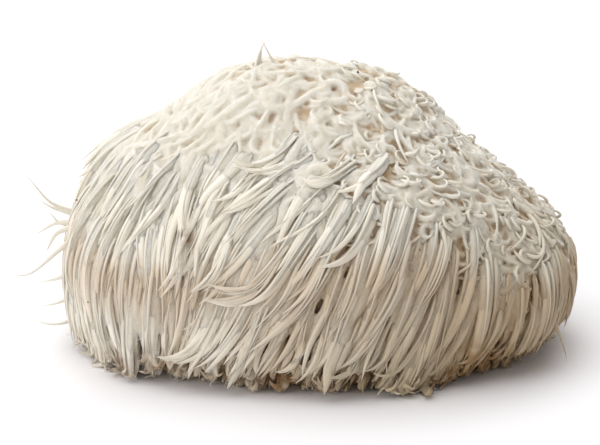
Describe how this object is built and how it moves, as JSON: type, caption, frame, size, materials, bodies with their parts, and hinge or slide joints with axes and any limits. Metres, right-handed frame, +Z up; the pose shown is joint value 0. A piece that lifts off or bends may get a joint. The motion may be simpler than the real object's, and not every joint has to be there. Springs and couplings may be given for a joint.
{
  "type": "lions mane mushroom",
  "caption": "Shaggy cream mushroom head: a low rounded mound covered in long hanging soft spines, matted curls on its crown, cut flat underneath.",
  "frame": {"origin": "on the flat cut underneath, below the middle of the flesh", "axes": "+X along the head's longest way, to the right as seen from the front; -Y is the front; +Z up from the cut to the crown"},
  "size_m": [0.1723, 0.1241, 0.0924],
  "materials": {
    "mushroom_flesh": "soft matte cream, moist and slightly translucent"
  },
  "bodies": {
    "root": {"fruiting_body": "mushroom_flesh"}
  },
  "joints": []
}
